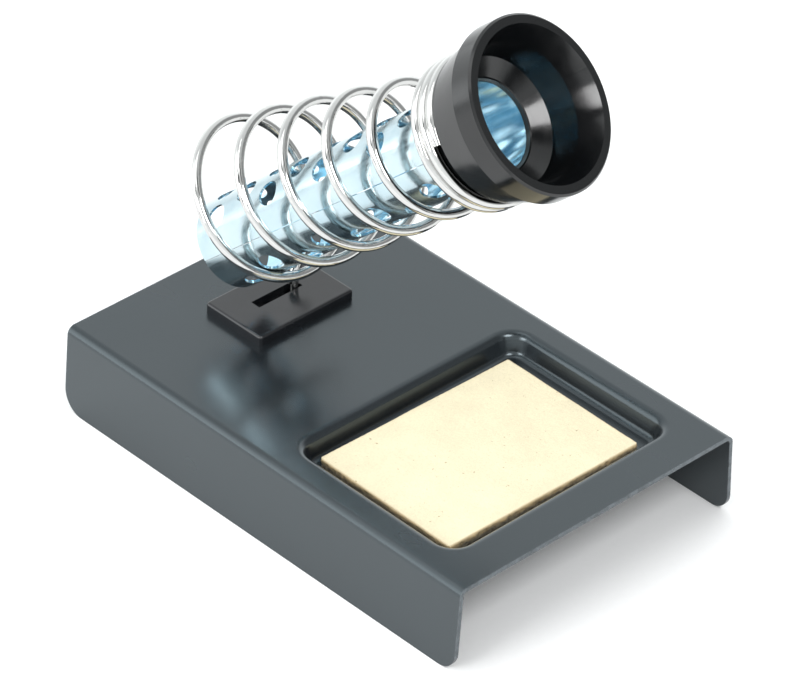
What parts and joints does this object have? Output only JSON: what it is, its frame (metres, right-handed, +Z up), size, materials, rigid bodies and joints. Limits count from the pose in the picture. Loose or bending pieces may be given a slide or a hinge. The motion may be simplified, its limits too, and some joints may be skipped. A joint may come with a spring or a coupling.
{
  "type": "soldering iron stand",
  "caption": "Bench stand for a soldering iron: folded steel base with a sponge tray, and a swivelling sprung wire holder with a flared mouthpiece and a perforated guard tube.",
  "frame": {"origin": "centre of the base's footprint, on the surface it stands on", "axes": "+Z up; -Y to the front, the sponge end; +Y to the rear, the wire clamp end; +X to the right, seen from the front"},
  "size_m": [0.088, 0.13, 0.1239],
  "materials": {
    "base_coat": "semi-gloss dark charcoal coat",
    "clamp_plastic": "gloss black",
    "spring_wire": "bright nickel-plated wire",
    "guard_sheet": "pale blue zinc plate, satin",
    "mouthpiece_plastic": "gloss black",
    "sponge_cellulose": "dry pressed cellulose sponge"
  },
  "bodies": {
    "base": {"base_plate": "base_coat", "clamp_front_half": "clamp_plastic", "clamp_rear_half": "clamp_plastic"},
    "holder": {"holder_spring": "spring_wire", "guard_tube": "guard_sheet", "funnel": "mouthpiece_plastic"},
    "sponge_pad": {"sponge": "sponge_cellulose"}
  },
  "joints": [
    {"name": "holder_swivel", "type": "hinge", "parent": "base", "child": "holder", "pos_m": [0.0052, 0.04045, 0.0225], "axis": [0, 0, 1], "range_deg": [-41.5, 77]},
    {"name": "sponge_lift", "type": "slide", "parent": "base", "child": "sponge_pad", "axis": [0, 0, 1], "range_m": [0, 0.03]}
  ]
}
